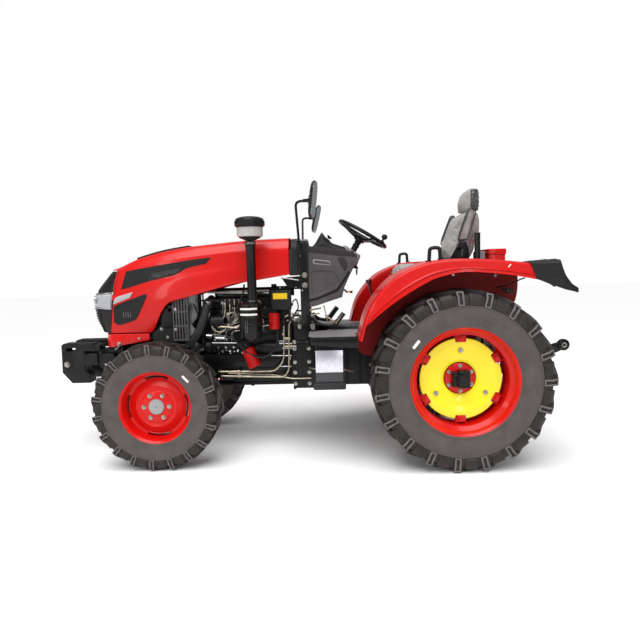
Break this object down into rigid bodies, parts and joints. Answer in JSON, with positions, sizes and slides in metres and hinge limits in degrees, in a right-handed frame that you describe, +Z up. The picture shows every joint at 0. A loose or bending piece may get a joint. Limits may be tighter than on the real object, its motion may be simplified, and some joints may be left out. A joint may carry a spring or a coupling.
{
  "type": "farm tractor",
  "caption": "Four-wheel-drive farm tractor with a tilting hood, open driver's platform, nose weights, steered front wheels and a rear three-point lift.",
  "frame": {"origin": "on the ground, half way along the tractor's overall length and on its centre plane", "axes": "+X forwards, +Y to the driver's left, +Z up"},
  "size_m": [3.848, 1.615, 1.999],
  "materials": {
    "red_paint": "gloss",
    "black_paint": "satin",
    "cast_black": "painted, satin",
    "bright_steel": "zinc plated",
    "yellow_paint": "gloss",
    "tyre_rubber": "moulded",
    "black_rubber": "moulded",
    "dark_plastic": "fine grain",
    "grey_vinyl": "grained vinyl"
  },
  "bodies": {
    "chassis": {"engine": "cast_black", "transmission": "cast_black", "rear_axle_housing": "cast_black", "drawbar": "black_paint", "front_frame": "black_paint", "front_weights": "black_paint", "front_axle_beam": "cast_black", "radiator": "black_paint", "nose_panel": "red_paint", "air_cleaner": "black_paint", "precleaner": "dark_plastic", "exhaust": "black_paint", "steering_pipes": "bright_steel", "cowl_frame": "black_paint", "dash_console": "dark_plastic", "pedals": "black_paint", "gear_lever": "dark_plastic", "seat_deck": "black_paint", "seat_base": "black_paint", "seat_cushion": "grey_vinyl", "seat_backrest": "grey_vinyl", "toolbox": "red_paint", "footplate_left": "black_paint", "footplate_right": "black_paint", "fender_left": "red_paint", "fender_right": "red_paint", "fender_flap_left": "black_rubber", "fender_flap_right": "black_rubber", "grab_handle_left": "black_paint", "grab_handle_right": "black_paint", "mirror_left": "black_paint", "mirror_right": "black_paint"},
    "hood": {"hood": "red_paint", "grille": "dark_plastic"},
    "steering_wheel": {"steering_wheel": "black_rubber"},
    "tie_rod": {"tie_rod": "bright_steel"},
    "lift_arms": {"lift_arms": "black_paint"},
    "armrest_left": {"armrest_left": "grey_vinyl"},
    "knuckle_left": {"knuckle_left": "cast_black"},
    "front_wheel_left": {"front_tyre_left": "tyre_rubber", "front_rim_left": "red_paint"},
    "rear_wheel_left": {"rear_tyre_left": "tyre_rubber", "rear_rim_left": "red_paint", "rear_disc_left": "yellow_paint"},
    "lower_link_left": {"lower_link_left": "black_paint"},
    "lift_rod_left": {"lift_rod_left": "black_paint"},
    "armrest_right": {"armrest_right": "grey_vinyl"},
    "knuckle_right": {"knuckle_right": "cast_black"},
    "front_wheel_right": {"front_tyre_right": "tyre_rubber", "front_rim_right": "red_paint"},
    "rear_wheel_right": {"rear_tyre_right": "tyre_rubber", "rear_rim_right": "red_paint", "rear_disc_right": "yellow_paint"},
    "lower_link_right": {"lower_link_right": "black_paint"},
    "lift_rod_right": {"lift_rod_right": "black_paint"}
  },
  "joints": [
    {"name": "hood_hinge", "type": "hinge", "parent": "chassis", "child": "hood", "pos_m": [0.105, 0, 1.624], "axis": [0, -1, 0], "range_deg": [0, 45]},
    {"name": "steer_left", "type": "hinge", "parent": "chassis", "child": "knuckle_left", "pos_m": [1.049, 0.43, 0.455], "axis": [0, 0, 1], "range_deg": [-35, 35]},
    {"name": "steer_right", "type": "hinge", "parent": "chassis", "child": "knuckle_right", "pos_m": [1.049, -0.43, 0.455], "axis": [0, 0, 1], "range_deg": [-35, 35]},
    {"name": "tie_rod_pivot", "type": "hinge", "parent": "knuckle_left", "child": "tie_rod", "pos_m": [1.199, 0.43, 0.423], "axis": [0, 0, 1], "range_deg": [-35, 35]},
    {"name": "steering_wheel_turn", "type": "hinge", "parent": "chassis", "child": "steering_wheel", "pos_m": [-0.471, 0, 1.664], "axis": [-0.515, 0, 0.8572], "range_deg": [-472.5, 472.5]},
    {"name": "front_wheel_left_roll", "type": "hinge", "parent": "knuckle_left", "child": "front_wheel_left", "pos_m": [1.049, 0.55, 0.455], "axis": [0, 1, 0], "continuous": true},
    {"name": "rear_wheel_left_roll", "type": "hinge", "parent": "chassis", "child": "rear_wheel_left", "pos_m": [-1.081, 0.65, 0.62], "axis": [0, 1, 0], "continuous": true},
    {"name": "armrest_left_fold", "type": "hinge", "parent": "chassis", "child": "armrest_left", "pos_m": [-1.185, 0.267, 1.545], "axis": [0, 1, 0], "range_deg": [0, 105]},
    {"name": "front_wheel_right_roll", "type": "hinge", "parent": "knuckle_right", "child": "front_wheel_right", "pos_m": [1.049, -0.55, 0.455], "axis": [0, 1, 0], "continuous": true},
    {"name": "rear_wheel_right_roll", "type": "hinge", "parent": "chassis", "child": "rear_wheel_right", "pos_m": [-1.081, -0.65, 0.62], "axis": [0, 1, 0], "continuous": true},
    {"name": "armrest_right_fold", "type": "hinge", "parent": "chassis", "child": "armrest_right", "pos_m": [-1.185, -0.267, 1.545], "axis": [0, 1, 0], "range_deg": [0, 105]},
    {"name": "lift", "type": "hinge", "parent": "chassis", "child": "lift_arms", "pos_m": [-1.181, 0, 0.88], "axis": [0, -1, 0], "range_deg": [0, 40]},
    {"name": "lower_link_left_swing", "type": "hinge", "parent": "chassis", "child": "lower_link_left", "pos_m": [-1.171, 0.216, 0.47], "axis": [0, -1, 0], "range_deg": [0, 40]},
    {"name": "lift_rod_left_swing", "type": "hinge", "parent": "lift_arms", "child": "lift_rod_left", "pos_m": [-1.50725, 0.196, 1.0285], "axis": [0, -1, 0], "range_deg": [-40, 0]},
    {"name": "lower_link_right_swing", "type": "hinge", "parent": "chassis", "child": "lower_link_right", "pos_m": [-1.171, -0.216, 0.47], "axis": [0, -1, 0], "range_deg": [0, 40]},
    {"name": "lift_rod_right_swing", "type": "hinge", "parent": "lift_arms", "child": "lift_rod_right", "pos_m": [-1.50725, -0.196, 1.0285], "axis": [0, -1, 0], "range_deg": [-40, 0]}
  ],
  "couplings": [
    {"joint": "steer_right", "follows": "steer_left", "ratio": 1},
    {"joint": "tie_rod_pivot", "follows": "steer_left", "ratio": -1},
    {"joint": "steering_wheel_turn", "follows": "steer_left", "ratio": 13.5},
    {"joint": "lower_link_left_swing", "follows": "lift", "ratio": 1},
    {"joint": "lift_rod_left_swing", "follows": "lift", "ratio": -1},
    {"joint": "lower_link_right_swing", "follows": "lift", "ratio": 1},
    {"joint": "lift_rod_right_swing", "follows": "lift", "ratio": -1}
  ]
}
